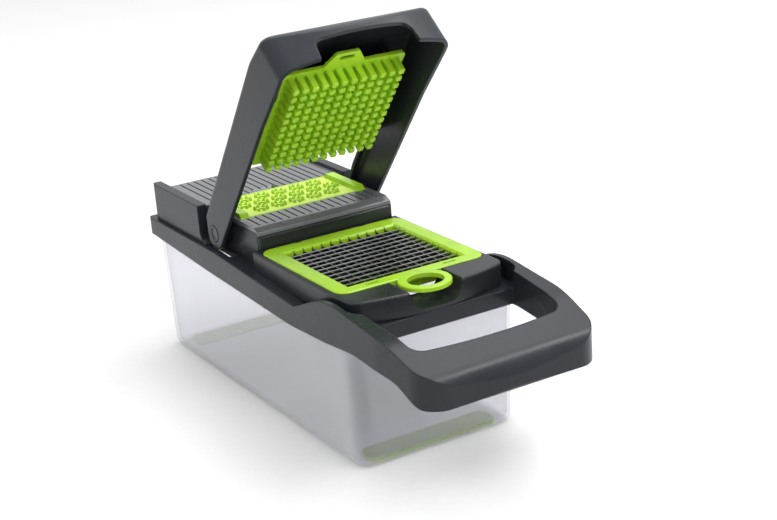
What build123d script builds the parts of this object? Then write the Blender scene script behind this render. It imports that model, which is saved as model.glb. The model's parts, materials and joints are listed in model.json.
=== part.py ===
from build123d import *
import math
import os

# Vegetable dicer: a clear tub, a grey top frame with a loop handle that lifts off it, a green dicing
# insert and a green grating insert that lift out of the frame, and a hinged lid with a clip-in
# pusher grid.  Millimetres.  +Z is up, -Y is the handle end, +X is to the right seen from the
# handle.  The origin is under the middle of the whole object, on the surface it stands on.
# The lid is drawn shut and then swung open to the angle it is stored at.

# ---------------------------------------------------------------- driving dimensions
overall_length = 359.0          # handle front to flange rear
frame_width = 123.0             # across the flange
flange_top = 95.1               # the face that the lid closes on
flange_low = 90.0               # the flange falls gently to this level at its front
flange_thick = 4.1
skirt_wall = 2.2
rail_corner = 4.0               # plan radius of the two rear corners of the frame

# clear tub
tub_front = -96.0
tub_height = 85.4
tub_floor_lift = 1.2            # clear floor stands on its pads
tub_wall = 2.0
tub_draft = 2.6                 # how much each side and the front lean in from rim to floor
tub_rear_draft = 0.8
tub_corner = 11.0
tub_floor_round = 4.5
tub_fit = 0.7                   # gap between the tub and the skirt round it
pad_thick = 2.6
pad_depth = 17.0
pad_half_width = 45.0
pad_inset = 6.0                 # pad edge to tub end

# loop handle and the wings that lead into it
wing_start = -35.5              # where each wing rises out of the rail
wing_start_z = 89.0
wing_peak = -73.0
wing_top = 104.6
arm_bend = -139.5               # the arms slope more steeply in front of this
arm_bend_z = 97.2
grip_top = 83.5
grip_round = 13.0
grip_bottom = 66.5
handle_half = 58.5              # half width of the handle at its front corners
handle_taper = -130.0           # the arms draw in from here forwards
handle_crown = 3.0              # how far the front of the grip bows forward
handle_corner = 18.0
handle_gap_front = -152.0       # where the hand opening ends, at its corners
handle_gap_crown = 3.0
handle_gap_half = 50.0          # half width of the hand opening at its front
arm_inner_half = 52.5
crossbar_front = -100.0
crossbar_bottom = 80.0
handle_wall = 2.6
nest_reach = 6.0                # how far the seat for the lid's corners runs on past the lid

# cutting platform and dicing insert
pitch = 6.65                    # spacing of blades and pusher posts
cells = 12
blade_thick = 0.5
blade_height = 7.0
blade_sink = 1.4                # blade tops below the insert's face
grid_centre = -26.4             # Y of the middle of the blade grid
platform_top = 104.6
platform_half = 53.4
platform_front = -99.9
insert_half = 51.3
insert_front = -76.0
insert_rear = 26.4
insert_corner = 8.0
insert_proud = 0.8              # face of the insert above the platform
finger_floor = 92.0             # floor of the hollow below the finger ring
insert_upper = 4.2              # thickness of the upper moulding
insert_lower = 5.0
insert_fit = 0.35               # gap round each lift-out insert
blade_hold = 3.2                # how far each blade end runs into the moulding
slot_clear = 0.1
ring_half_width = 16.4
ring_front = -102.0
ring_thick = 2.8
ring_band = 5.0

# rear housing, deck and grating insert
housing_half = 58.8
housing_rear = 173.0
housing_top = 120.6
housing_front = 98.0            # where the full-width part starts
core_half = 49.0                # narrow part between the lid arms
core_front = 31.4
housing_wall = 2.4
cheek_inner = 52.3
horn_length = 10.5              # cheeks run on behind the deck
deck_top = 118.4
deck_thick = 2.8
deck_fit = 0.2
groove_pitch = 5.4
groove_count = 17
groove_width = 1.3
groove_depth = 0.9
riser_thick = 2.5
grater_half = 46.5
grater_front = 57.0
grater_rear = 105.0
grater_thick = 3.6
grater_border = 4.0
tooth_height = 1.9
tooth_radius = 1.15
teeth_per_star = 8
star_radius = 4.4
star_rows = (5, 6, 5)           # clusters of teeth in each row
star_pitch_x = 13.2
star_pitch_y = 12.4

# lid, hinge and pusher
hinge_y = 77.5
hinge_z = 106.3
pin_radius = 3.0
pin_head_radius = 5.4
pin_clear = 0.05
boss_radius = 6.2
lid_angle = 50.5                # how far the lid stands open when stored
lid_half = 57.5
lid_wall = 2.6
lid_seat = 0.9                  # rim above the flange at the hinge
lid_rim_front = 94.0            # the rim drops a little at the front
lid_front = -104.0
lid_crown_radius = 165.0
lid_corner = 11.0
lid_top_front = 129.8
lid_brow_z = 124.0              # the top rolls over through this height above the front wall
lid_shoulder = 4.5              # rounding of the long top edges
lid_top_rear = 124.0
panel_rear = 24.5
arm_flange_half = 50.5
arm_end_reach = 10.4            # how far the arms run on behind the hinge
lid_notch_half = 33.5
lid_notch_height = 11.5
moving_gap = 0.6                # gap between the lid and what it closes over
post_size = 4.8
post_tip_z = 100.0
pusher_face_z = 111.0
pusher_thick = 2.5
pusher_half = 43.5
pusher_front = -68.0
pusher_rear = 16.5
tab_reach = 10.5
tab_half = 7.8
tab_foot_half = 15.0
clip_y = -50.5
clip_length = 7.0

# ---------------------------------------------------------------- sizes that follow
half = frame_width / 2
y_front = -overall_length / 2
y_rear = overall_length / 2
flange_under = flange_top - flange_thick
tub_half = half - skirt_wall - tub_fit
tub_rear = y_rear - skirt_wall - tub_fit
insert_face = platform_top + insert_proud
grid_half = cells * pitch / 2
blade_top = insert_face - blade_sink
blade_bottom = blade_top - blade_height
deck_rear = housing_rear - horn_length
deck_under = deck_top - deck_thick
lid_rim = flange_top + lid_seat
flange_fall = (flange_top - wing_start_z) / (hinge_y - 5 - wing_start)
lid_drop_rear = hinge_y - 5 - (flange_top - flange_low) / flange_fall    # flange level in front of this
upper_under = insert_face - insert_upper
lower_under = upper_under - insert_lower
lower_half = grid_half + blade_hold + 3.0
lower_front = grid_centre - lower_half
lower_rear = grid_centre + lower_half
far = 400.0                     # longer than any cut has to reach


def slab(x0, x1, y0, y1, z0, z1):
    """A plain block between two corners."""
    return Pos((x0 + x1) / 2, (y0 + y1) / 2, (z0 + z1) / 2) * Box(x1 - x0, y1 - y0, z1 - z0)


def plate(outline, z0, z1):
    """A flat outline, drawn on XY, given height from z0 to z1."""
    return extrude(Pos(0, 0, z0) * outline, z1 - z0)


def side_solid(points, half_width, rounds=()):
    """A side outline of (y, z) points, carried across from -half_width to +half_width."""
    face = make_face(Polyline(*points, close=True))
    for radius, corners in rounds:
        picked = [v for v in face.vertices() if any(near(v, points[c]) for c in corners)]
        face = fillet(picked, radius)
    across = Plane(origin=(-half_width, 0, 0), x_dir=(0, 1, 0), z_dir=(1, 0, 0))
    return extrude(across * face, 2 * half_width)


def near(vertex, point):
    return abs(vertex.X - point[0]) < 1e-6 and abs(vertex.Y - point[1]) < 1e-6


def rounded_outline(half_width, y0, y1, radius):
    return Pos(0, (y0 + y1) / 2) * RectangleRounded(2 * half_width, y1 - y0, radius)


def bowed_outline(half_width, y_bow, bow, y_back, front_radius, back_radius):
    """A plan outline, square at the back, whose front bows towards -Y and reaches y_bow."""
    corner_y = y_bow + bow
    left, right = (-half_width, corner_y), (half_width, corner_y)
    back_right, back_left = (half_width, y_back), (-half_width, y_back)
    edge = ThreePointArc(left, (0, y_bow), right)
    rest = Polyline(right, back_right, back_left, left)
    face = make_face(Curve() + [edge, rest])
    front = [v for v in face.vertices() if v.Y < corner_y + 1]
    face = fillet(front, front_radius)
    if back_radius > 0:
        face = fillet([v for v in face.vertices() if v.Y > y_back - 0.01], back_radius)
    return face


def crown(half_width, radius):
    """Rise of an arc of this radius over this half width."""
    return radius - math.sqrt(radius ** 2 - half_width ** 2)


def cylinder_x(radius, x0, x1, y, z):
    return Pos((x0 + x1) / 2, y, z) * Rot(0, 90, 0) * Cylinder(radius, x1 - x0)


def both_sides(solid):
    return [solid, mirror(solid, Plane.YZ)]


# ---------------------------------------------------------------- clear tub and its pads
def tub_shell(inset, floor_z, top_z, corner, floor_round):
    """One drafted, round-cornered body of the tub, inset from its outer face."""
    low = rounded_outline(tub_half - tub_draft - inset, tub_front + tub_draft + inset,
                          tub_rear - tub_rear_draft - inset, corner)
    high = rounded_outline(tub_half - inset, tub_front + inset, tub_rear - inset, corner)
    body = loft([Pos(0, 0, floor_z) * low, Pos(0, 0, top_z) * high])
    base = body.faces().sort_by(Axis.Z)[0]
    return fillet(base.edges(), floor_round)


def pad_bounds(end):
    if end < 0:
        start = tub_front + tub_draft + pad_inset
        return start, start + pad_depth
    stop = tub_rear - tub_rear_draft - pad_inset
    return stop - pad_depth, stop


def container_tub():
    outer = tub_shell(0, tub_floor_lift, tub_height, tub_corner, tub_floor_round)
    inner = tub_shell(tub_wall, tub_floor_lift + tub_wall, tub_height + 1, tub_corner - tub_wall,
                      tub_floor_round - tub_wall)
    body = outer - inner
    for end in (-1, 1):
        y0, y1 = pad_bounds(end)
        body -= plate(rounded_outline(pad_half_width, y0, y1, 5), 0, pad_thick)
    return body


def base_pad(end):
    y0, y1 = pad_bounds(end)
    body = plate(rounded_outline(pad_half_width, y0, y1, 5), 0, pad_thick)
    ribs = [slab(-pad_half_width + 6, pad_half_width - 6, y, y + 1.2, -0.1, 0.5)
            for y in (y0 + 3.5, y0 + 7.9, y0 + 12.3)]
    return body - ribs


# ---------------------------------------------------------------- top frame
def frame_side_points():
    """The frame seen from the side: long rails, raised wings and the grip that slopes away."""
    return [(y_rear, flange_top), (hinge_y - 5, flange_top), (wing_start, wing_start_z), (wing_peak, wing_top),
            (arm_bend, arm_bend_z), (y_front, grip_top), (y_front, grip_bottom),
            (y_front + 11.5, grip_bottom), (arm_bend - 7.5, grip_bottom + 10), (-104, grip_bottom + 13.3),
            (-72, grip_bottom + 10.5), (-28, grip_bottom + 8.5), (84.5, grip_bottom + 12.5),
            (y_rear, grip_bottom + 17)]


def frame_side(half_width):
    """The side outline with its soft turns."""
    rounds = [(150, (1,)), (60, (3,)), (80, (4,)), (grip_round, (5,)), (3, (6,)), (14, (7,)), (30, (8,)),
              (60, (9, 10, 11, 12))]
    return side_solid(frame_side_points(), half_width, rounds)


def frame_plan(inset):
    """The frame from above: straight rails, then arms that draw in to the bowed, rounded grip."""
    side, nose = half - inset, handle_half - inset
    front = y_front + inset
    corner_y = front + handle_crown
    bow = ThreePointArc((-nose, corner_y), (0, front), (nose, corner_y))
    rest = Polyline((nose, corner_y), (side, handle_taper), (side, y_rear), (-side, y_rear),
                    (-side, handle_taper), (-nose, corner_y))
    face = make_face(Curve() + [bow, rest])
    for radius, y in ((handle_corner - inset, corner_y), (100, handle_taper), (rail_corner, y_rear)):
        face = fillet([v for v in face.vertices() if abs(v.Y - y) < 1e-6], radius)
    return face


def hand_opening(grow):
    """Outline of the hole that the hand goes through, grown outwards by grow."""
    rear = crossbar_front
    front = handle_gap_front
    left, right = (-handle_gap_half, front), (handle_gap_half, front)
    edge = ThreePointArc(left, (0, front - handle_gap_crown), right)
    rest = Polyline(right, (arm_inner_half, rear), (-arm_inner_half, rear), left)
    face = make_face(Curve() + [edge, rest])
    face = fillet([v for v in face.vertices() if v.Y < front + 1], 9)
    return offset(face, grow) if grow > 0 else face


def lid_outline(grow):
    """Plan outline of the shut lid, grown or shrunk all round, run on to the back."""
    half_width = lid_half + grow
    bow = crown(half_width, lid_crown_radius)
    return bowed_outline(half_width, lid_front - grow, bow, far / 2, lid_corner + grow, 0)


def frame_shell():
    body = frame_side(half) & plate(frame_plan(0), 0, far / 2)
    # room for the tub, up to the underside of the flange
    nest = rounded_outline(half - skirt_wall, tub_front - tub_fit, y_rear - skirt_wall,
                           tub_corner + tub_fit)
    low_under = flange_low - flange_thick
    sloped = Pos(0, 0, -flange_thick) * frame_side(half) & slab(-half, half, lid_drop_rear, far / 2, 0, far / 2)
    body -= plate(nest, -1, low_under)
    body -= sloped & plate(nest, low_under - 1, far / 2)
    # the loop for the hand, and the low front wall behind it
    body -= plate(hand_opening(0), 0, far / 2)
    body -= slab(-arm_inner_half, arm_inner_half, crossbar_front - 1, tub_front - tub_fit, 0, crossbar_bottom)
    # the lid drops between the wings
    seat = plate(Pos(0, -nest_reach) * lid_outline(moving_gap), flange_low, far / 2)
    body -= seat & slab(-half, half, -far, lid_drop_rear, 0, far / 2)
    # the grip and arms are hollow underneath
    hollow = plate(frame_plan(handle_wall), 0, far / 2) & slab(-half, half, -far, crossbar_front, 0, far / 2)
    low_side = Pos(0, handle_wall, -handle_wall) * frame_side(half)
    lower_side = Pos(0, handle_wall, -3 * handle_wall) * frame_side(half)
    hollow = (low_side & hollow) + (lower_side & hollow)
    body -= hollow - plate(hand_opening(handle_wall), -1, far / 2)
    # where food drops through into the tub
    body -= slab(-core_half + 2, core_half - 2, lower_front - 2, housing_rear - 8, 0, far / 2)
    # small slots below the hinges
    slot = plate(Pos(53.7, hinge_y - 3) * RectangleRounded(5.2, 30, 2), flange_low - flange_thick, flange_top + 1)
    body -= both_sides(slot)
    return body


def insert_ring(grow, z0, z1):
    """The finger ring in front of the dicing insert, grown all round."""
    depth = insert_front - ring_front + ring_band
    centre = ring_front + depth / 2
    return plate(Pos(0, centre) * Ellipse(ring_half_width + grow, depth / 2 + grow), z0, z1)


def cutting_platform():
    bow = crown(platform_half, lid_crown_radius)
    plan = bowed_outline(platform_half, platform_front, bow, core_front - 0.2, 9, 0)
    body = plate(plan, flange_low - 2, platform_top)
    top = body.faces().sort_by(Axis.Z)[-1]
    soft = [e for e in top.edges() if e.center().Y < core_front - 5]
    body = fillet(soft, 1.6)
    body -= frame_flange()
    well = rounded_outline(insert_half + insert_fit, insert_front - insert_fit,
                           insert_rear + insert_fit, insert_corner + insert_fit)
    body -= plate(well, upper_under, far / 2)
    body -= slab(-lower_half - insert_fit, lower_half + insert_fit, lower_front - insert_fit,
                 lower_rear + insert_fit, 0, far / 2)
    # rounded trough for the fingers below the ring, open to the front
    side = ring_half_width + 2
    foot = side - 3.5
    trough = make_face(Polyline((-side, far), (-side, platform_top), (-foot, finger_floor),
                                (foot, finger_floor), (side, platform_top), (side, far), close=True))
    trough = fillet([v for v in trough.vertices() if v.Y < finger_floor + 1], 9)
    back = Plane(origin=(0, insert_front + 9, 0), x_dir=(1, 0, 0), z_dir=(0, -1, 0))
    body -= extrude(back * trough, 60)
    return body


def frame_flange():
    """Everything at or below the top of the flange, for shapes that stand on it."""
    level = slab(-half, half, -far, lid_drop_rear, 0, flange_low)
    return level + (frame_side(half) & slab(-half, half, lid_drop_rear, far, 0, far))


# ---------------------------------------------------------------- rear housing and deck
def rear_housing():
    points = [(housing_front, housing_top), (housing_front, flange_top), (housing_rear, flange_top),
              (housing_rear, housing_top)]
    plan = rounded_outline(housing_half, housing_front - 20, housing_rear, 5)
    block = side_solid(points, housing_half, [(2, (3,))]) & plate(plan, 0, far / 2)
    # the full-width walls sweep forward where they meet the rail
    sweep_radius = 8.5
    foot = slab(-housing_half, housing_half, housing_front - sweep_radius, housing_front,
                flange_top, flange_top + sweep_radius)
    sweep = cylinder_x(sweep_radius, -housing_half, housing_half, housing_front - sweep_radius,
                       flange_top + sweep_radius)
    core = slab(-core_half, core_half, core_front, housing_front + 1, flange_low, deck_under)
    body = block + (foot - sweep) + (core - frame_flange())
    # hollow above the tub
    wall = housing_wall
    body -= slab(-core_half + wall, core_half - wall, core_front + wall, deck_rear - wall, 0, deck_under)
    body -= slab(-housing_half + wall, housing_half - wall, housing_front + wall, deck_rear - wall,
                 0, deck_under - 3)
    # the deck drops in between the cheeks, and the rear is set in between the horns
    body -= slab(-cheek_inner, cheek_inner, core_front - 1, far / 2, deck_under, far / 2)
    body -= slab(-cheek_inner, cheek_inner, deck_rear, far / 2, flange_top + 5, far / 2)
    # pivot bosses stand out of the narrow part
    boss_end = lid_half - pin_stack()
    body += both_sides(cylinder_x(boss_radius, core_half - wall - 2, boss_end, hinge_y, hinge_z))
    body -= both_sides(cylinder_x(pin_radius, 0.5, far / 2, hinge_y, hinge_z) & hinge_reach())
    return body


def pin_stack():
    """Outer face of the lid arm to the end of the housing's boss."""
    return arm_boss_thick() + 0.3


def arm_boss_thick():
    return lid_wall + 1.6


def hinge_reach():
    return slab(core_half - housing_wall - 3, lid_half + 1, hinge_y - 20, hinge_y + 20,
                hinge_z - 20, hinge_z + 20)


def slicing_deck():
    nose = core_front - 1.4
    points = [(deck_rear, deck_top), (deck_rear, deck_under), (core_front - deck_fit, deck_under),
              (core_front - deck_fit, deck_under - 1.9), (nose, deck_under - 1.9),
              (nose + 0.6, deck_under + 0.4), (core_front + 4.5, deck_top)]
    body = side_solid(points, core_half, [(1.4, (0,)), (1.5, (5,)), (3, (6,))])
    wide = slab(-cheek_inner + deck_fit, cheek_inner - deck_fit, housing_front + 4, deck_rear - 1.5,
                deck_under, deck_top)
    body += wide
    # lengthwise grooves
    first = -(groove_count - 1) / 2 * groove_pitch
    grooves = [slab(first + i * groove_pitch - groove_width / 2, first + i * groove_pitch + groove_width / 2,
                    core_front + 6, deck_rear - 3, deck_top - groove_depth, deck_top + 1)
               for i in range(groove_count)]
    body -= grooves
    # seat and way through for the grating insert
    gap = insert_fit
    body -= slab(-grater_half - gap, grater_half + gap, grater_front - gap, grater_rear + gap,
                 deck_top - 1.9, far / 2)
    body -= slab(-grater_half + grater_border - 1, grater_half - grater_border + 1,
                 grater_front + grater_border - 1, grater_rear - grater_border + 1, 0, far / 2)
    # thumb hollow behind the insert
    thumb = Pos(-5, grater_rear + 3, deck_top + 2.5) * Rot(0, 90, 0) * Cylinder(5, 18)
    body -= thumb
    # sunk strips beside the seat
    strips = [slab(46.6, 48.0, core_front + y, core_front + y + 1, deck_top - 0.8, deck_top + 1)
              for y in (9, 13, 17)]
    for strip in strips:
        body -= both_sides(strip)
    return body


def step_riser():
    """Upright trim bar between the platform and the deck, with a round rib at each end."""
    z0 = platform_top
    z1 = deck_under - 2.2
    y0 = core_front - riser_thick
    y1 = core_front
    body = slab(-core_half + 1.5, core_half - 1.5, y0, y1, z0, z1)
    top_front = body.edges().filter_by(Axis.X).group_by(Axis.Z)[-1].sort_by(Axis.Y)[0]
    body = chamfer(top_front, 0.8)
    rib_radius = riser_thick / 2
    rib = Pos(core_half - rib_radius, y0 + rib_radius, (z0 + z1) / 2) * Cylinder(rib_radius, z1 - z0)
    return body + both_sides(rib)


def hinge_pin(side):
    """Shouldered pivot pin: shaft pressed in the boss, round head sunk in the lid arm."""
    inner = core_half - housing_wall - 2
    outer = lid_half + 0.2
    head = cylinder_x(pin_head_radius, outer - 1.5, outer, hinge_y, hinge_z)
    shaft = cylinder_x(pin_radius, inner, outer - 1.0, hinge_y, hinge_z)
    dimple = cylinder_x(pin_head_radius - 1.6, outer - 0.4, outer + 1, hinge_y, hinge_z)
    pin = head + shaft - dimple
    return pin if side > 0 else mirror(pin, Plane.YZ)


# ---------------------------------------------------------------- dicing insert
def blade_places():
    return [(i - cells / 2) * pitch for i in range(1, cells)]


def blade_slots():
    """Envelope of all blade ends, with clearance, cut out of both mouldings."""
    reach = grid_half + blade_hold + slot_clear
    width = blade_thick / 2 + slot_clear
    low, high = blade_bottom - slot_clear, blade_top + 0.7
    slots = []
    for place in blade_places():
        slots.append(slab(place - width, place + width, grid_centre - reach, grid_centre + reach, low, high))
        slots.append(slab(-reach, reach, grid_centre + place - width, grid_centre + place + width, low, high))
    return slots


def grid_hole(grow=0.0):
    side = grid_half + grow
    return slab(-side, side, grid_centre - side, grid_centre + side, 0, far / 2)


def dicing_frame_upper():
    outline = rounded_outline(insert_half, insert_front, insert_rear, insert_corner)
    body = plate(outline, upper_under, insert_face)
    body += insert_ring(0, insert_face - ring_thick, insert_face)
    rim = [e for e in body.faces().sort_by(Axis.Z)[-1].edges()]
    body = chamfer(rim, 0.6)
    depth = insert_front - ring_front + ring_band
    hole_y = ring_front + (depth - ring_band) / 2 + 1.6
    body -= plate(Pos(0, hole_y) * Ellipse(ring_half_width - ring_band, depth / 2 - ring_band), 0, far / 2)
    body -= grid_hole()
    # a shallow bevel runs down to the grid
    bevel = loft([Pos(0, grid_centre, insert_face - 1.2) * Rectangle(2 * grid_half, 2 * grid_half),
                  Pos(0, grid_centre, insert_face) * Rectangle(2 * grid_half + 3, 2 * grid_half + 3)])
    body -= bevel
    body -= blade_slots()
    # two drip slots near the ring and two nicks at the back
    drip = plate(Pos(27, insert_front + 4.6) * RectangleRounded(9, 1.8, 0.8), 0, far / 2)
    nick = slab(21, 26, insert_rear - 1.2, insert_rear + 1, insert_face - 1.5, far / 2)
    body -= both_sides(drip)
    body -= both_sides(nick)
    return body


def dicing_frame_lower():
    outline = Pos(0, grid_centre) * RectangleRounded(2 * lower_half, 2 * lower_half, 2)
    body = plate(outline, lower_under, upper_under)
    body -= grid_hole()
    body -= blade_slots()
    return body


def blade(slots_on_top):
    """One blade lying along X, cut half way through wherever it crosses another."""
    length = 2 * (grid_half + blade_hold)
    outline = Pos(0, (blade_top + blade_bottom) / 2) * Rectangle(length, blade_height)
    middle = (blade_top + blade_bottom) / 2
    shift = blade_height / 4 if slots_on_top else -blade_height / 4
    for place in blade_places():
        outline -= Pos(place, middle + shift) * Rectangle(blade_thick + slot_clear, blade_height / 2 + 0.05)
    upright = Plane(origin=(0, blade_thick / 2, 0), x_dir=(1, 0, 0), z_dir=(0, -1, 0))
    return extrude(upright * outline, blade_thick)


def blades_crosswise():
    one = blade(slots_on_top=False)
    return [Pos(0, grid_centre + place, 0) * one for place in blade_places()]


def blades_lengthwise():
    one = blade(slots_on_top=True)
    return [Pos(place, grid_centre, 0) * Rot(0, 0, 90) * one for place in blade_places()]


# ---------------------------------------------------------------- grating insert
def grater_frame():
    z0 = deck_top - 1.9
    body = slab(-grater_half, grater_half, grater_front, grater_rear, z0, deck_top)
    edge = grater_border
    body -= slab(-grater_half + 9, grater_half - 9, grater_front + edge, grater_rear - edge, 0, far / 2)
    body -= slab(-grater_half + 7, grater_half - 7, grater_front + 2, grater_rear - 2,
                 deck_top - 0.9, far / 2)
    # a skirt reaches down through the deck
    skirt = slab(-grater_half + edge, grater_half - edge, grater_front + edge - 0.6,
                 grater_rear - edge + 0.6, deck_top - grater_thick, z0)
    skirt -= slab(-grater_half + 9, grater_half - 9, grater_front + edge + 0.8,
                  grater_rear - edge - 0.8, 0, far / 2)
    body += skirt
    # raised finger ridge at each end
    ridge_points = [(grater_front + 1, deck_top - 0.5), (grater_rear - 1, deck_top - 0.5),
                    (grater_rear - 4, deck_top + 2.6), (grater_front + 4, deck_top + 2.6)]
    ridge = side_solid(ridge_points, 3, [(1.5, (2, 3))])
    body += both_sides(Pos(grater_half - 3.2, 0, 0) * ridge)
    return body


def grater_plate():
    body = slab(-grater_half + 7.2, grater_half - 7.2, grater_front + 2.2, grater_rear - 2.2,
                deck_top - 0.9, deck_top - 0.1)
    holes = [Pos(x, y, deck_top) * Cylinder(1.5, 4) for x, y in star_places()]
    return body - holes


def star_places():
    """Middles of the tooth clusters, each row set half a step from the next."""
    middle = (grater_front + grater_rear) / 2
    places = []
    for row, count in enumerate(star_rows):
        y = middle + (row - (len(star_rows) - 1) / 2) * star_pitch_y
        places += [((i - (count - 1) / 2) * star_pitch_x, y) for i in range(count)]
    return places


def grater_teeth():
    tooth = Pos(0, 0, deck_top - 0.1 + tooth_height / 2) * Cone(tooth_radius, 0.12, tooth_height)
    teeth = []
    for x, y in star_places():
        for turn in range(teeth_per_star):
            angle = 2 * math.pi * turn / teeth_per_star
            teeth.append(Pos(x + star_radius * math.cos(angle), y + star_radius * math.sin(angle)) * tooth)
    return teeth


# ---------------------------------------------------------------- lid and pusher, drawn shut
def lid_block(inset):
    """The shut lid as a solid block, or the space inside its walls, with soft top edges."""
    top_front, top_rear = lid_top_front - inset, lid_top_rear - inset
    front = lid_front + inset
    run = hinge_y - 21 - lid_front
    fall = (top_front - top_rear) / run
    reach = far / 2 + 1
    outline = [(front - 5, 0), (reach, 0), (reach, top_front - fall * (reach - lid_front)),
               (lid_front + 38, top_front - fall * 38), (lid_front + 12, lid_brow_z - inset),
               (front - 5, lid_brow_z - 16.5 - inset)]
    roof = side_solid(outline, far, [(40, (3,)), (20 - inset, (4,))])
    block = roof & plate(lid_outline(-inset), 0, far)
    crest = [e for e in block.edges() if e.center().Z > 108 and e.center().Y < far / 2 - 1
             and max(abs(v.X) for v in e.vertices()) < far / 2 and abs(e.center().X) > 1
             and abs(e.tangent_at(0.5).Z) < 0.8]
    crest += [e for e in block.edges() if abs(e.center().X) <= 1 and 100 < e.center().Z < lid_brow_z
              and e.center().Y < front + 3]
    block = fillet(crest, lid_shoulder - inset)
    low = lid_rim_front - inset
    points = [(-far, low), (lid_front + 22, low), (lid_front + 62, lid_rim - inset),
              (hinge_y + arm_end_reach, lid_rim - inset), (hinge_y + arm_end_reach, hinge_z + 3),
              (hinge_y - 2.5, top_rear - 2.5), (hinge_y - 21, top_rear + 0.5), (-far, far)]
    rounds = [(60, (1, 2)), (9.4, (3,)), (6, (4, 5))]
    return block & side_solid(points, far, rounds)


def lid_shell():
    outer = lid_block(0)
    inner = lid_block(lid_wall)
    inner += Pos(0, 0, -2 * lid_wall) * lid_block(lid_wall)
    body = outer - inner
    # open window between the arms
    body -= slab(-arm_flange_half, arm_flange_half, panel_rear, far / 2, 0, far / 2)
    # thick round ends that carry the pins
    arm_end = cylinder_x(9.8, lid_half - arm_boss_thick(), lid_half - 0.5, hinge_y, hinge_z)
    body += both_sides(arm_end)
    bore = cylinder_x(pin_radius + pin_clear, 40, far / 2, hinge_y, hinge_z)
    sink = cylinder_x(pin_head_radius + 0.35, lid_half - 1.7, far / 2, hinge_y, hinge_z)
    body -= both_sides(bore)
    body -= both_sides(sink)
    # notch in the front wall for the ring of the insert
    notch = make_face(Polyline((-lid_notch_half, lid_rim_front - 1), (lid_notch_half, lid_rim_front - 1),
                               (lid_notch_half - 2, lid_rim + lid_notch_height),
                               (-lid_notch_half + 2, lid_rim + lid_notch_height), close=True))
    notch = fillet([v for v in notch.vertices() if v.Y > lid_rim], 6)
    front = Plane(origin=(0, lid_front + 20, 0), x_dir=(1, 0, 0), z_dir=(0, -1, 0))
    body -= extrude(front * notch, 30)
    # ribs under the panel that the pusher plate sits against
    plate_back = pusher_face_z + pusher_thick + 0.3
    ribs = [slab(x - 1, x + 1, pusher_front + 6, pusher_rear - 6, plate_back, lid_top_front)
            for x in (-34, 0, 34)]
    # sprung tongues that pass through the notches in the pusher plate
    for side in (-1, 1):
        x = side * (pusher_half - 0.7)
        ribs.append(slab(x - 0.7, x + 0.7, clip_y - clip_length / 2, clip_y + clip_length / 2,
                         pusher_face_z - 1.6, lid_top_front))
    for rib in ribs:
        body += rib & outer
    return body


def pusher_plate():
    """Green plate with a pull tab, and its notches for the lid's tongues."""
    z0, z1 = pusher_face_z, pusher_face_z + pusher_thick
    body = plate(rounded_outline(pusher_half, pusher_front, pusher_rear, 3), z0, z1)
    tab_front = pusher_front - tab_reach
    tab = make_face(Polyline((-tab_foot_half, pusher_front + 1), (-tab_half, tab_front),
                             (tab_half, tab_front), (tab_foot_half, pusher_front + 1), close=True))
    tab = fillet([v for v in tab.vertices() if v.Y < pusher_front], 2)
    body += plate(tab, z0, z1 - 0.4)
    body -= plate(Pos(0, tab_front + 4.2) * SlotOverall(10.5, 3.2), 0, far / 2)
    reach = clip_length / 2 + insert_fit
    notch = slab(pusher_half - 1.8, pusher_half + 1, clip_y - reach, clip_y + reach, 0, far / 2)
    body -= both_sides(notch)
    return body


def pusher_posts():
    """Square posts, one for each cell of the blade grid, each with a bevelled tip."""
    bevel = 0.7
    stem = Rectangle(post_size, post_size)
    tip = Rectangle(post_size - 2 * bevel, post_size - 2 * bevel)
    post = plate(stem, post_tip_z + bevel, pusher_face_z)
    post += loft([Pos(0, 0, post_tip_z) * tip, Pos(0, 0, post_tip_z + bevel) * stem])
    places = [(i - (cells - 1) / 2) * pitch for i in range(cells)]
    return [Pos(x, grid_centre + y, 0) * post for y in places for x in places]


def swung(solids):
    """Swing pieces of the shut lid open about the hinge, front end up."""
    axis = Axis((0, hinge_y, hinge_z), (-1, 0, 0))
    return [solid.rotate(axis, lid_angle) for solid in solids]


# ---------------------------------------------------------------- write the pieces
def as_list(shape):
    return list(shape) if isinstance(shape, (list, tuple)) else [shape]


def pieces():
    return {
        "container_tub": container_tub(),
        "base_pad_front": base_pad(-1),
        "base_pad_rear": base_pad(1),
        "frame_shell": frame_shell(),
        "cutting_platform": cutting_platform(),
        "rear_housing": rear_housing(),
        "slicing_deck": slicing_deck(),
        "step_riser": step_riser(),
        "hinge_pin_left": hinge_pin(-1),
        "hinge_pin_right": hinge_pin(1),
        "dicing_frame_upper": dicing_frame_upper(),
        "dicing_frame_lower": dicing_frame_lower(),
        "blades_crosswise": blades_crosswise(),
        "blades_lengthwise": blades_lengthwise(),
        "grater_frame": grater_frame(),
        "grater_plate": grater_plate(),
        "grater_teeth": grater_teeth(),
        "lid_shell": swung([lid_shell()]),
        "pusher_plate": swung([pusher_plate()]),
        "pusher_posts": swung(pusher_posts()),
    }


os.makedirs("parts", exist_ok=True)
for name, shape in pieces().items():
    solids = [solid for item in as_list(shape) for solid in item.solids()]
    node = solids[0] if len(solids) == 1 else Compound(children=solids)
    export_step(node, f"parts/{name}.step")
    print(name, len(solids))
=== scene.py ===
# %% [markdown]
# # Vegetable dicer
# A clear tub carries a grey frame with a loop handle. A green grid of blades and a green grating
# insert drop into the frame, and a hinged lid pushes food through the grid with a block of square
# pegs. The CAD model gives every place and size, so this script only loads it, gives each part the
# surface its real material has, and rebuilds the parts that repeat (pegs, blades and grating
# teeth) with Geometry Nodes. All other parts keep their CAD shape.

import json
import math

import bmesh
import bpy
from mathutils import Matrix, Vector


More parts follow.
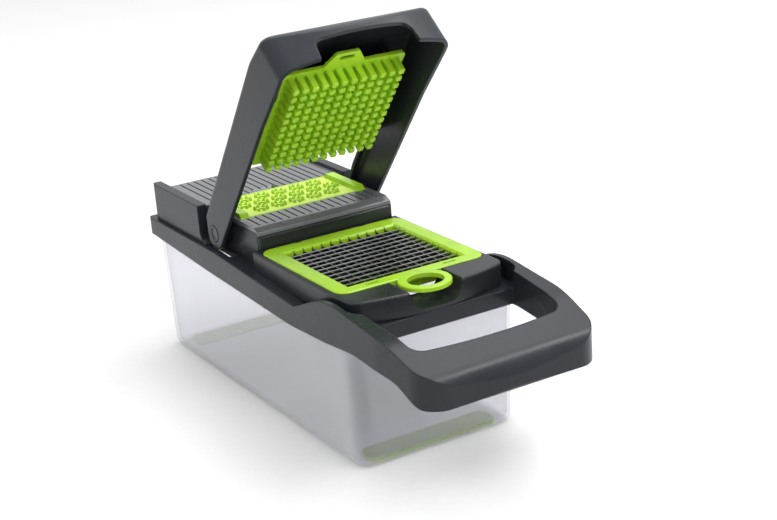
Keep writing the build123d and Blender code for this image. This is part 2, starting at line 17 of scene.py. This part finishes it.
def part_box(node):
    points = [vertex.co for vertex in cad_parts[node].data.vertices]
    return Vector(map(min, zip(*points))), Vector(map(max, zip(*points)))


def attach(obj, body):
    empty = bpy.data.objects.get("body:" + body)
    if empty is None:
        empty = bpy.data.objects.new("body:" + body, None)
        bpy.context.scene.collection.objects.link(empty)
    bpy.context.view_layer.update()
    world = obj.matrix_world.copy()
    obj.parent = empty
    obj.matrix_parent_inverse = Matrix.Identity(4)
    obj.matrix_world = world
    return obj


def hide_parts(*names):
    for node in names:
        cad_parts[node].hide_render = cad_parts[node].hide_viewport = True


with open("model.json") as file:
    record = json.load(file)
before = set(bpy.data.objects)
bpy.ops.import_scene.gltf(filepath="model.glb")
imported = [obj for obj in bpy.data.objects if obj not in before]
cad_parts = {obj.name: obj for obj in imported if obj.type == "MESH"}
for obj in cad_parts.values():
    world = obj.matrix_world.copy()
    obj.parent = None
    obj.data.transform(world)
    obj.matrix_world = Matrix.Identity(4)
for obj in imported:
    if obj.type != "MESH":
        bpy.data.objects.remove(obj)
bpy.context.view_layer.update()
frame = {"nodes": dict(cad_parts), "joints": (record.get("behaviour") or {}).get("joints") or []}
nodes = frame["nodes"]
mm = 0.001

# %% [markdown]
# ## Helpers
# Colours are written as sRGB hex values, the way a paint chart gives them, and turned to the linear
# numbers that a shader works in. One function adds a node, sets its values and joins its inputs.


# %% Colour and node helpers
def linear(hex_colour):
    """An sRGB hex colour as linear RGBA."""
    values = [int(hex_colour[i:i + 2], 16) / 255 for i in (1, 3, 5)]
    return [v / 12.92 if v <= 0.04045 else ((v + 0.055) / 1.055) ** 2.4 for v in values] + [1.0]


def add(tree, kind, links=None, **settings):
    """Adds a node. settings are its properties, or its inputs by name with _ for a space."""
    node = tree.nodes.new(kind)
    for name, value in settings.items():
        if hasattr(node, name):
            setattr(node, name, value)
        else:
            node.inputs[name.replace("_", " ")].default_value = value
    for socket, source in (links or {}).items():
        tree.links.new(source, node.inputs[socket])
    return node


def new_material(name):
    material = bpy.data.materials.new(name)
    material.use_nodes = True
    material.node_tree.nodes.clear()
    return material, material.node_tree


def finish_surface(tree, shader):
    add(tree, "ShaderNodeOutputMaterial", {"Surface": shader})


def dress(node_name, material):
    """Gives a CAD node a material."""
    slots = nodes[node_name].data.materials
    slots.clear()
    slots.append(material)


print("mid grey in linear:", [round(v, 3) for v in linear("#808080")])

# %% [markdown]
# ## Moulded grey ABS
# The frame, the housing and the lid are injection moulded ABS. Moulded ABS has a satin skin: a fine
# spark-eroded grain breaks up the highlight, colour is even but for a faint mottle, and every
# corner has a small radius that catches the light. Grain in the tool is about 0.15 mm, too fine to
# show here, so it is drawn at 0.7 mm. The small radii come from the Bevel node, which bends the
# shading normal near an edge and leaves the mesh alone.


# %% Grey ABS
def moulded_abs(name, colour, mottle_colour, roughness, edge_radius=0.9 * mm, grain=0.7 * mm,
                grain_height=0.03, clear=0.0, specular=0.3):
    """Satin moulded plastic: mottled colour, fine grain, soft edges."""
    material, tree = new_material(name)
    place = add(tree, "ShaderNodeTexCoord").outputs["Object"]
    cloud = add(tree, "ShaderNodeTexNoise", {"Vector": place}, Scale=1 / (38 * mm), Detail=3.0)
    ramp = add(tree, "ShaderNodeValToRGB", {"Fac": cloud.outputs["Fac"]})
    ramp.color_ramp.elements[0].position = 0.32
    ramp.color_ramp.elements[0].color = linear(mottle_colour)
    ramp.color_ramp.elements[1].position = 0.68
    ramp.color_ramp.elements[1].color = linear(colour)
    fine = add(tree, "ShaderNodeTexNoise", {"Vector": place}, Scale=1 / grain, Detail=2.0)
    soft = add(tree, "ShaderNodeBevel", Radius=edge_radius)
    soft.samples = 4
    bump = add(tree, "ShaderNodeBump", {"Height": fine.outputs["Fac"], "Normal": soft.outputs["Normal"]},
               Strength=grain_height * 6, Distance=0.05 * mm)
    shine = add(tree, "ShaderNodeMapRange", {"Value": cloud.outputs["Fac"]}, From_Min=0.3, From_Max=0.7,
                To_Min=roughness - 0.05, To_Max=roughness + 0.05)
    shader = add(tree, "ShaderNodeBsdfPrincipled",
                 {"Base Color": ramp.outputs["Color"], "Roughness": shine.outputs["Result"],
                  "Normal": bump.outputs["Normal"]}, IOR=1.54, Specular_IOR_Level=specular,
                 Coat_Weight=clear, Coat_Roughness=0.2)
    finish_surface(tree, shader.outputs["BSDF"])
    return material


frame_abs = moulded_abs("satin_grey_abs", "#26292e", "#212429", 0.27, edge_radius=1.4 * mm, specular=0.2)
lid_abs = moulded_abs("satin_grey_abs_lid", "#292c31", "#24272c", 0.3, edge_radius=1.6 * mm, specular=0.2)
dark_abs = moulded_abs("satin_dark_grey_abs", "#222529", "#1d2023", 0.3, edge_radius=1.2 * mm)
# The slicing deck's base colour is much lighter than the frame's grey: painted sheen, standing for the bright
# surround mirrored by its flat tops at a glancing angle.
deck_abs_painted_sheen = moulded_abs("slicing_deck_abs", "#585a5d", "#505255", 0.27, edge_radius=0.25 * mm, grain=0.9 * mm,
                       clear=0.4, specular=0.5)
for node_name, material in (("frame_shell", frame_abs), ("cutting_platform", dark_abs),
                            ("rear_housing", frame_abs), ("slicing_deck", deck_abs_painted_sheen),
                            ("step_riser", dark_abs), ("hinge_pin_left", dark_abs),
                            ("hinge_pin_right", dark_abs), ("lid_shell", lid_abs)):
    dress(node_name, material)
print("grey parts dressed")

# %% [markdown]
# ## Lime green polypropylene
# The lift-out parts are moulded in a bright lime polypropylene. It is slightly see-through near
# its surface, so thin places glow and shadows in it stay green: a little subsurface scattering
# gives that. Its gloss is softer than that of ABS.


# %% Lime green
def lime_plastic(name, colour, mottle_colour, roughness=0.3, depth=1.2 * mm, edge_radius=0.5 * mm):
    """Glossy, faintly see-through green plastic."""
    material, tree = new_material(name)
    place = add(tree, "ShaderNodeTexCoord").outputs["Object"]
    cloud = add(tree, "ShaderNodeTexNoise", {"Vector": place}, Scale=1 / (16 * mm), Detail=2.0)
    ramp = add(tree, "ShaderNodeValToRGB", {"Fac": cloud.outputs["Fac"]})
    ramp.color_ramp.elements[0].position = 0.3
    ramp.color_ramp.elements[0].color = linear(mottle_colour)
    ramp.color_ramp.elements[1].position = 0.7
    ramp.color_ramp.elements[1].color = linear(colour)
    soft = add(tree, "ShaderNodeBevel", Radius=edge_radius)
    soft.samples = 4
    ripple = add(tree, "ShaderNodeTexNoise", {"Vector": place}, Scale=1 / (3 * mm), Detail=1.0)
    bump = add(tree, "ShaderNodeBump", {"Height": ripple.outputs["Fac"], "Normal": soft.outputs["Normal"]},
               Strength=0.15, Distance=0.1 * mm)
    shine = add(tree, "ShaderNodeMapRange", {"Value": cloud.outputs["Fac"]}, From_Min=0.3, From_Max=0.7,
                To_Min=roughness - 0.04, To_Max=roughness + 0.04)
    shader = add(tree, "ShaderNodeBsdfPrincipled",
                 {"Base Color": ramp.outputs["Color"], "Roughness": shine.outputs["Result"],
                  "Normal": bump.outputs["Normal"]}, IOR=1.49, Subsurface_Weight=0.25,
                 Subsurface_Scale=depth)
    shader.inputs["Subsurface Radius"].default_value = (0.6, 1.0, 0.1)
    finish_surface(tree, shader.outputs["BSDF"])
    return material


insert_lime = lime_plastic("glossy_lime_polypropylene", "#9fca24", "#93be1c")
peg_lime = lime_plastic("lime_polypropylene_pegs", "#b0dc30", "#a0d024", roughness=0.34)
plate_lime = lime_plastic("pale_lime_polypropylene", "#c6df58", "#bbd648", roughness=0.38)
for node_name, material in (("dicing_frame_upper", insert_lime), ("dicing_frame_lower", insert_lime),
                            ("grater_frame", insert_lime), ("grater_plate", plate_lime),
                            ("pusher_plate", peg_lime)):
    dress(node_name, material)
print("green parts dressed")

# %% [markdown]
# ## Clear styrene tub
# The tub is moulded in clear SAN, a hard glassy plastic with a faint lilac tint. A wall only 2 mm
# thick bends what is behind it very little, so it is made as a surface that lets light straight
# through and mirrors more and more towards a glancing view. A faint haze, denser seen edge on,
# draws the rim and the corners.

# %% Clear tub
tub_clear, tree = new_material("clear_san_tub")
place = add(tree, "ShaderNodeTexCoord").outputs["Object"]
swirl = add(tree, "ShaderNodeTexNoise", {"Vector": place}, Scale=1 / (30 * mm), Detail=2.0)
ripple = add(tree, "ShaderNodeBump", {"Height": swirl.outputs["Fac"]}, Strength=0.08, Distance=0.4 * mm)
haze = add(tree, "ShaderNodeValToRGB", {"Fac": swirl.outputs["Fac"]})
haze.color_ramp.elements[0].color = linear("#e2e3e6")
haze.color_ramp.elements[1].color = linear("#eeeef0")
gloss = add(tree, "ShaderNodeBsdfPrincipled", {"Base Color": haze.outputs["Color"],
            "Normal": ripple.outputs["Normal"]}, Roughness=0.06, IOR=1.57)
through = add(tree, "ShaderNodeBsdfTransparent", Color=linear("#f7f7f9"))
edge_on = add(tree, "ShaderNodeLayerWeight", {"Normal": ripple.outputs["Normal"]}, Blend=0.25)
amount = add(tree, "ShaderNodeMapRange", {"Value": edge_on.outputs["Facing"]}, To_Min=0.035, To_Max=0.65)
wall = add(tree, "ShaderNodeMixShader", {0: amount.outputs["Result"], 1: through.outputs["BSDF"],
                                         2: gloss.outputs["BSDF"]})
finish_surface(tree, wall.outputs["Shader"])
dress("container_tub", tub_clear)

# %% [markdown]
# ## Repeated parts
# A grid of pegs or a row of blades is one shape drawn once and set down many times. Geometry Nodes
# does that: the tree takes the shape, a mesh whose points are the places, and a material, and
# ends in real faces. The result is turned into a plain mesh, so that nothing depends on the tree.


# %% Scatter tree
def scatter_tree():
    """Sets one shape down on every point of a mesh."""
    tree = bpy.data.node_groups.new("set_down_on_points", "GeometryNodeTree")
    for name, kind in (("Places", "NodeSocketGeometry"), ("Shape", "NodeSocketObject"),
                       ("Turn", "NodeSocketRotation"), ("Size", "NodeSocketFloat"),
                       ("Finish", "NodeSocketMaterial")):
        tree.interface.new_socket(name=name, in_out="INPUT", socket_type=kind)
    tree.interface.new_socket(name="Geometry", in_out="OUTPUT", socket_type="NodeSocketGeometry")
    inputs = tree.nodes.new("NodeGroupInput").outputs
    points = add(tree, "GeometryNodeMeshToPoints", {"Mesh": inputs["Places"]})
    shape = add(tree, "GeometryNodeObjectInfo", {"Object": inputs["Shape"]})
    laid = add(tree, "GeometryNodeInstanceOnPoints",
               {"Points": points.outputs["Points"], "Instance": shape.outputs["Geometry"],
                "Rotation": inputs["Turn"], "Scale": inputs["Size"]})
    real = add(tree, "GeometryNodeRealizeInstances", {"Geometry": laid.outputs["Instances"]})
    painted = add(tree, "GeometryNodeSetMaterial",
                  {"Geometry": real.outputs["Geometry"], "Material": inputs["Finish"]})
    add(tree, "NodeGroupOutput", {"Geometry": painted.outputs["Geometry"]})
    return tree


def link(name, mesh):
    """A new object for a mesh, at the origin."""
    piece = bpy.data.objects.new(name, mesh)
    bpy.context.scene.collection.objects.link(piece)
    return piece


def set_down(name, shape_mesh, places, material, turn=(0, 0, 0), size=1.0):
    """A plain mesh of shape_mesh repeated at every place, made by the scatter tree."""
    points = bpy.data.meshes.new(name + "_places")
    points.from_pydata(places, [], [])
    carrier = link(name + "_places", points)
    shape = link(name + "_shape", shape_mesh)
    modifier = carrier.modifiers.new("set_down", "NODES")
    modifier.node_group = SCATTER
    keys = {item.name: item.identifier for item in SCATTER.interface.items_tree if item.in_out == "INPUT"}
    modifier[keys["Shape"]] = shape
    modifier[keys["Turn"]] = turn
    modifier[keys["Size"]] = size
    modifier[keys["Finish"]] = material
    bpy.context.view_layer.update()
    graph = bpy.context.evaluated_depsgraph_get()
    mesh = bpy.data.meshes.new_from_object(carrier.evaluated_get(graph))
    mesh.name = name
    for helper in (carrier, shape):
        bpy.data.objects.remove(helper)
    return link(name, mesh)


SCATTER = scatter_tree()
print("scatter inputs:", [i.name for i in SCATTER.interface.items_tree if i.in_out == "INPUT"])

# %% [markdown]
# ## How far the lid stands open
# The pegs are laid out with the lid shut, where they are upright over the blade grid, and then
# swung open with it. The lid's joint gives the hinge line, and its low limit is how far it closes.

# %% Lid swing
hinge = next(j for j in frame["joints"] if j["name"] == "lid_hinge")
hinge_point = Vector(hinge["pos_m"])
lid_open = -math.radians(hinge["range_deg"][0])
swing = (Matrix.Translation(hinge_point) @ Matrix.Rotation(lid_open, 4, Vector(hinge["axis"]))
         @ Matrix.Translation(-hinge_point))
print("lid stands open", round(math.degrees(lid_open), 1), "degrees")

# %% [markdown]
# ## Pusher pegs
# Each peg is a square post that fits one cell of the blade grid. It narrows towards its tip so
# that it leaves the mould, and the tip has a bevel round a shallow dish. It could be a scaled cube,
# but stacked rings with cut corners give the taper and the bevel with few faces, which matters for
# a shape that is repeated 144 times.

# %% Pusher pegs
PITCH = 6.65 * mm
CELLS = 12
grid_low, grid_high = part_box("blades_crosswise")
grid_middle_y = (grid_low.y + grid_high.y) / 2
PEG_TIP = 100.0 * mm
PEG_ROOT = 111.1 * mm


def ring_loft(rings, corner_cut):
    """A mesh through square rings of (height, half width), each corner cut back a little."""
    mesh = bmesh.new()
    rows = []
    for height, half in rings:
        cut = min(corner_cut, half * 0.4)
        corners = [(half, half - cut), (half - cut, half), (cut - half, half), (-half, half - cut),
                   (-half, cut - half), (cut - half, -half), (half - cut, -half), (half, cut - half)]
        rows.append([mesh.verts.new((x, y, height)) for x, y in corners])
    for low, high in zip(rows[:-1], rows[1:]):
        for i in range(8):
            j = (i + 1) % 8
            mesh.faces.new((low[i], low[j], high[j], high[i]))
    mesh.faces.new(list(reversed(rows[0])))
    mesh.faces.new(rows[-1])
    bmesh.ops.recalc_face_normals(mesh, faces=mesh.faces)
    out = bpy.data.meshes.new("ring_loft")
    mesh.to_mesh(out)
    mesh.free()
    return out


peg = ring_loft([(PEG_TIP + 0.5 * mm, 0.9 * mm), (PEG_TIP, 1.2 * mm), (PEG_TIP + 0.15 * mm, 1.45 * mm),
                 (PEG_TIP + 0.8 * mm, 1.95 * mm), (PEG_ROOT - 1.0 * mm, 2.2 * mm), (PEG_ROOT, 2.5 * mm)],
                0.45 * mm)
across = [(i - (CELLS - 1) / 2) * PITCH for i in range(CELLS)]
pegs = set_down("pusher_pegs", peg, [(x, grid_middle_y + y, 0) for y in across for x in across], peg_lime)
pegs.data.transform(swing)
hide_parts("pusher_posts")
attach(pegs, "pusher")
print("peg faces:", len(pegs.data.polygons))

# %% [markdown]
# ## Blades
# The grid is thin spring steel, ground to an edge along its top. Rolled steel is brushed along its
# length, so a highlight smears across the brushing: noise stretched along the blade drives the
# roughness. The colour is mixed by height: the ground top edge keeps the full steel colour as a
# painted highlight, and the flanks are darkened as painted shade, standing for the shade in the
# narrow gaps between the blades.


# %% Steel
def brushed_steel(name, colour, dark_colour, along_x, low_rough, high_rough, flank):
    """Rolled steel brushed along x or y, its lines drawn 0.4 mm wide so that they show."""
    material, tree = new_material(name)
    place = add(tree, "ShaderNodeTexCoord").outputs["Object"]
    line, run = 1 / (0.4 * mm), 1 / (20 * mm)
    stretch = add(tree, "ShaderNodeMapping", {"Vector": place},
                  Scale=(run, line, line) if along_x else (line, run, line))
    brushing = add(tree, "ShaderNodeTexNoise", {"Vector": stretch.outputs["Vector"]}, Scale=1.0, Detail=2.0)
    shine = add(tree, "ShaderNodeMapRange", {"Value": brushing.outputs["Fac"]}, From_Min=0.3, From_Max=0.7,
                To_Min=low_rough, To_Max=high_rough)
    tone = add(tree, "ShaderNodeValToRGB", {"Fac": brushing.outputs["Fac"]})
    tone.color_ramp.elements[0].color = linear(dark_colour)
    tone.color_ramp.elements[1].color = linear(colour)
    bump = add(tree, "ShaderNodeBump", {"Height": brushing.outputs["Fac"]}, Strength=0.2, Distance=0.02 * mm)
    # Painted highlight and shade by height: the top edge keeps the full colour, and lower down the colour is
    # multiplied by the last argument, which darkens the flanks as painted shade.
    height = add(tree, "ShaderNodeSeparateXYZ", {"Vector": place}).outputs["Z"]
    ground = add(tree, "ShaderNodeMapRange", {"Value": height}, From_Min=grid_high.z - 0.9 * mm,
                 From_Max=grid_high.z - 0.3 * mm, To_Min=flank, To_Max=1.0)
    brushed_tone_and_edge_shade = add(tree, "ShaderNodeMix", {6: tone.outputs["Color"], 7: ground.outputs["Result"]},
               data_type="RGBA", blend_type="MULTIPLY", Factor=1.0)
    shader = add(tree, "ShaderNodeBsdfPrincipled",
                 {"Base Color": brushed_tone_and_edge_shade.outputs[2], "Roughness": shine.outputs["Result"],
                  "Normal": bump.outputs["Normal"]}, Metallic=1.0)
    finish_surface(tree, shader.outputs["BSDF"])
    return material


# One steel in a lit and a shaded copy: the crosswise blades get a lighter colour and weaker flank darkening
# so that their edges read as bright lines, a painted highlight, and the lengthwise blades are painted darker.
steel_across_lit = brushed_steel("brushed_steel_crosswise", "#e2e3e3", "#cfd0d0", True, 0.2, 0.36, 0.3)
steel_along_shaded = brushed_steel("brushed_steel_lengthwise", "#b4b6b6", "#9a9c9c", False, 0.24, 0.4, 0.12)


# %% Blade strips
def blade_strip(length, bottom, top, thick, ground):
    """One blade along x: flat flanks, and a flat-topped ground edge."""
    half, tip = thick / 2, thick / 5
    outline = [(-half, bottom), (half, bottom), (half, top - ground), (tip, top), (-tip, top),
               (-half, top - ground)]
    mesh = bmesh.new()
    ends = [[mesh.verts.new((x, y, z)) for y, z in outline] for x in (-length / 2, length / 2)]
    for i in range(len(outline)):
        j = (i + 1) % len(outline)
        mesh.faces.new((ends[0][i], ends[1][i], ends[1][j], ends[0][j]))
    mesh.faces.new(ends[0])
    mesh.faces.new(list(reversed(ends[1])))
    bmesh.ops.recalc_face_normals(mesh, faces=mesh.faces)
    out = bpy.data.meshes.new("blade_strip")
    mesh.to_mesh(out)
    mesh.free()
    return out


blade_length = grid_high.x - grid_low.x
steps = [(i - CELLS / 2) * PITCH for i in range(1, CELLS)]
for name, node_name, turn, finish, drop in (
        ("ground_blades_crosswise", "blades_crosswise", (0, 0, 0), steel_across_lit, 0.0),
        ("ground_blades_lengthwise", "blades_lengthwise", (0, 0, math.pi / 2), steel_along_shaded, 0.25 * mm)):
    strip = blade_strip(blade_length, grid_low.z, grid_high.z - drop, 0.55 * mm, 0.9 * mm)
    if turn[2]:
        places = [(step, grid_middle_y, 0) for step in steps]
    else:
        places = [(0, grid_middle_y + step, 0) for step in steps]
    blades = set_down(name, strip, places, finish, turn=turn)
    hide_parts(node_name)
    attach(blades, "dicing_insert")
    print(name, "faces:", len(blades.data.polygons))

# %% [markdown]
# ## Grating teeth
# The grating insert is a moulded plate with clusters of small spikes. Each cluster is a ring of
# eight leaning thorns round a hole. One thorn is a cone of six sides whose tip leans outward, and
# the ring is built once and then set down on each cluster's place.

# %% Grating teeth
plate_low, plate_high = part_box("grater_plate")
teeth_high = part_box("grater_teeth")[1]
THORNS = 8
RING_RADIUS = 4.4 * mm
CLUSTER_ROWS = (5, 6, 5)
COLUMN_PITCH = 13.2 * mm
ROW_PITCH = 12.4 * mm


def thorn_ring():
    """Eight leaning thorns in a ring, with a low swelling under them."""
    mesh = bmesh.new()
    base, tip = plate_high.z - 0.2 * mm, teeth_high.z
    for turn in range(THORNS):
        angle = 2 * math.pi * turn / THORNS
        out = Vector((math.cos(angle), math.sin(angle), 0))
        side = Vector((-out.y, out.x, 0))
        foot = out * RING_RADIUS
        rows = []
        for rise, radius, lean in ((0, 1.5, 0.0), (0.35, 1.2, 0.0), (0.8, 0.65, 0.15), (1, 0.2, 0.25)):
            centre = foot + out * lean * mm + Vector((0, 0, base + (tip - base) * rise))
            rows.append([mesh.verts.new(centre + (out * math.cos(k) + side * math.sin(k)) * radius * mm)
                         for k in [2 * math.pi * n / 6 for n in range(6)]])
        for low, high in zip(rows[:-1], rows[1:]):
            for i in range(6):
                j = (i + 1) % 6
                mesh.faces.new((low[i], low[j], high[j], high[i]))
        mesh.faces.new(list(reversed(rows[0])))
        mesh.faces.new(rows[-1])
    bmesh.ops.recalc_face_normals(mesh, faces=mesh.faces)
    out_mesh = bpy.data.meshes.new("thorn_ring")
    mesh.to_mesh(out_mesh)
    mesh.free()
    return out_mesh


plate_middle = (plate_low + plate_high) / 2
clusters = []
for row, count in enumerate(CLUSTER_ROWS):
    y = plate_middle.y + (row - (len(CLUSTER_ROWS) - 1) / 2) * ROW_PITCH
    clusters += [((i - (count - 1) / 2) * COLUMN_PITCH, y, 0) for i in range(count)]
thorns = set_down("grating_thorns", thorn_ring(), clusters, insert_lime)
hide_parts("grater_teeth")
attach(thorns, "grater_insert")
print("thorn rings:", len(clusters))

# %% [markdown]
# ## Soft feet
# Two strips of soft green elastomer are set into the tub's floor. They are matt and slightly
# see-through, with a fine grain, and the clear floor above them makes them look pale.

# %% Soft feet
feet_green, tree = new_material("soft_green_elastomer")
place = add(tree, "ShaderNodeTexCoord").outputs["Object"]
grain = add(tree, "ShaderNodeTexNoise", {"Vector": place}, Scale=1 / (1.5 * mm), Detail=3.0)
tone = add(tree, "ShaderNodeValToRGB", {"Fac": grain.outputs["Fac"]})
tone.color_ramp.elements[0].color = linear("#a6c83c")
tone.color_ramp.elements[1].color = linear("#b4d650")
bump = add(tree, "ShaderNodeBump", {"Height": grain.outputs["Fac"]}, Strength=0.3, Distance=0.1 * mm)
shader = add(tree, "ShaderNodeBsdfPrincipled", {"Base Color": tone.outputs["Color"],
             "Normal": bump.outputs["Normal"]}, Roughness=0.6, Subsurface_Weight=0.2, Subsurface_Scale=1 * mm)
finish_surface(tree, shader.outputs["BSDF"])
for node_name in ("base_pad_front", "base_pad_rear"):
    dress(node_name, feet_green)
print("feet dressed")

# %% [markdown]
# ## Floor, light and camera
# The object stands on a plain pale floor. One broad light overhead and behind makes the flat tops
# pale, a weak one on the left opens up the sides, and a strip above the handle draws a soft line
# along the grip. The surround is dimmer near the horizon than overhead, so upright walls mirror
# less light than flat tops do, as they do in a studio with a lit ceiling.

# %% Floor
floor_mesh = bpy.data.meshes.new("floor")
FLOOR = 12.0
floor_mesh.from_pydata([(-FLOOR, -FLOOR, 0), (FLOOR, -FLOOR, 0), (FLOOR, FLOOR, 0), (-FLOOR, FLOOR, 0)], [],
                       [(0, 1, 2, 3)])
floor = link("floor", floor_mesh)
floor_white, tree = new_material("white_paper")
paper = add(tree, "ShaderNodeTexNoise", {"Vector": add(tree, "ShaderNodeTexCoord").outputs["Object"]},
            Scale=200.0)
tint = add(tree, "ShaderNodeValToRGB", {"Fac": paper.outputs["Fac"]})
tint.color_ramp.elements[0].color = linear("#dadada")
tint.color_ramp.elements[1].color = linear("#dfdfdf")
shader = add(tree, "ShaderNodeBsdfPrincipled", {"Base Color": tint.outputs["Color"]}, Roughness=0.9)
finish_surface(tree, shader.outputs["BSDF"])
floor.data.materials.append(floor_white)

# %% World and lamps
HORIZON_GLOW, OVERHEAD_GLOW = 0.6, 1.2
world = bpy.data.worlds.new("white_surround")
world.use_nodes = True
tree = world.node_tree
sky_height = add(tree, "ShaderNodeSeparateXYZ",
                 {"Vector": add(tree, "ShaderNodeTexCoord").outputs["Generated"]}).outputs["Z"]
sky = add(tree, "ShaderNodeMapRange", {"Value": sky_height}, From_Max=0.7, To_Min=HORIZON_GLOW,
          To_Max=OVERHEAD_GLOW)
tree.nodes["Background"].inputs["Color"].default_value = (1.0, 1.0, 1.0, 1.0)
tree.links.new(sky.outputs["Result"], tree.nodes["Background"].inputs["Strength"])
bpy.context.scene.world = world


def area_light(name, place, target, width, height, power, colour=(1, 1, 1)):
    """A soft rectangular lamp that faces its target."""
    data = bpy.data.lights.new(name, "AREA")
    data.shape = "RECTANGLE"
    data.size, data.size_y = width, height
    data.energy = power
    data.color = colour
    lamp = bpy.data.objects.new(name, data)
    bpy.context.scene.collection.objects.link(lamp)
    aim = Vector(target) - Vector(place)
    lamp.matrix_world = Matrix.Translation(place) @ aim.to_track_quat("-Z", "Y").to_matrix().to_4x4()
    return lamp


area_light("overhead_softbox", (0.3, 0.5, 1.5), (0, 0, 0.08), 1.4, 1.0, 11)
area_light("left_softbox", (-1.5, -0.4, 0.7), (0, 0, 0.08), 0.9, 0.9, 1.2)
area_light("grip_strip", (0.4, -0.5, 1.05), (0, -0.14, 0.08), 1.5, 0.2, 9)

# %% Camera
AZIMUTH, ELEVATION, ROLL = math.radians(-28.93), math.radians(19.91), math.radians(-4.69)
CAMERA_PLACE = Vector((-0.46574, -0.85033, 0.43027))
back = Vector((math.sin(AZIMUTH) * math.cos(ELEVATION), -math.cos(AZIMUTH) * math.cos(ELEVATION),
               math.sin(ELEVATION)))
right = Vector((math.cos(AZIMUTH), math.sin(AZIMUTH), 0))
up = back.cross(right)
turned_right = right * math.cos(ROLL) + up * math.sin(ROLL)
turned_up = up * math.cos(ROLL) - right * math.sin(ROLL)
lens = bpy.data.cameras.new("camera")
lens.sensor_width = 36.0
lens.lens = 75.43
lens.shift_x = 0.0373
lens.shift_y = 0.0284
camera = bpy.data.objects.new("camera", lens)
bpy.context.scene.collection.objects.link(camera)
camera.matrix_world = Matrix((
    (turned_right.x, turned_up.x, back.x, CAMERA_PLACE.x),
    (turned_right.y, turned_up.y, back.y, CAMERA_PLACE.y),
    (turned_right.z, turned_up.z, back.z, CAMERA_PLACE.z),
    (0, 0, 0, 1)))
bpy.context.scene.camera = camera
bpy.context.scene.view_settings.view_transform = "Standard"
print("camera at", [round(v, 3) for v in CAMERA_PLACE])
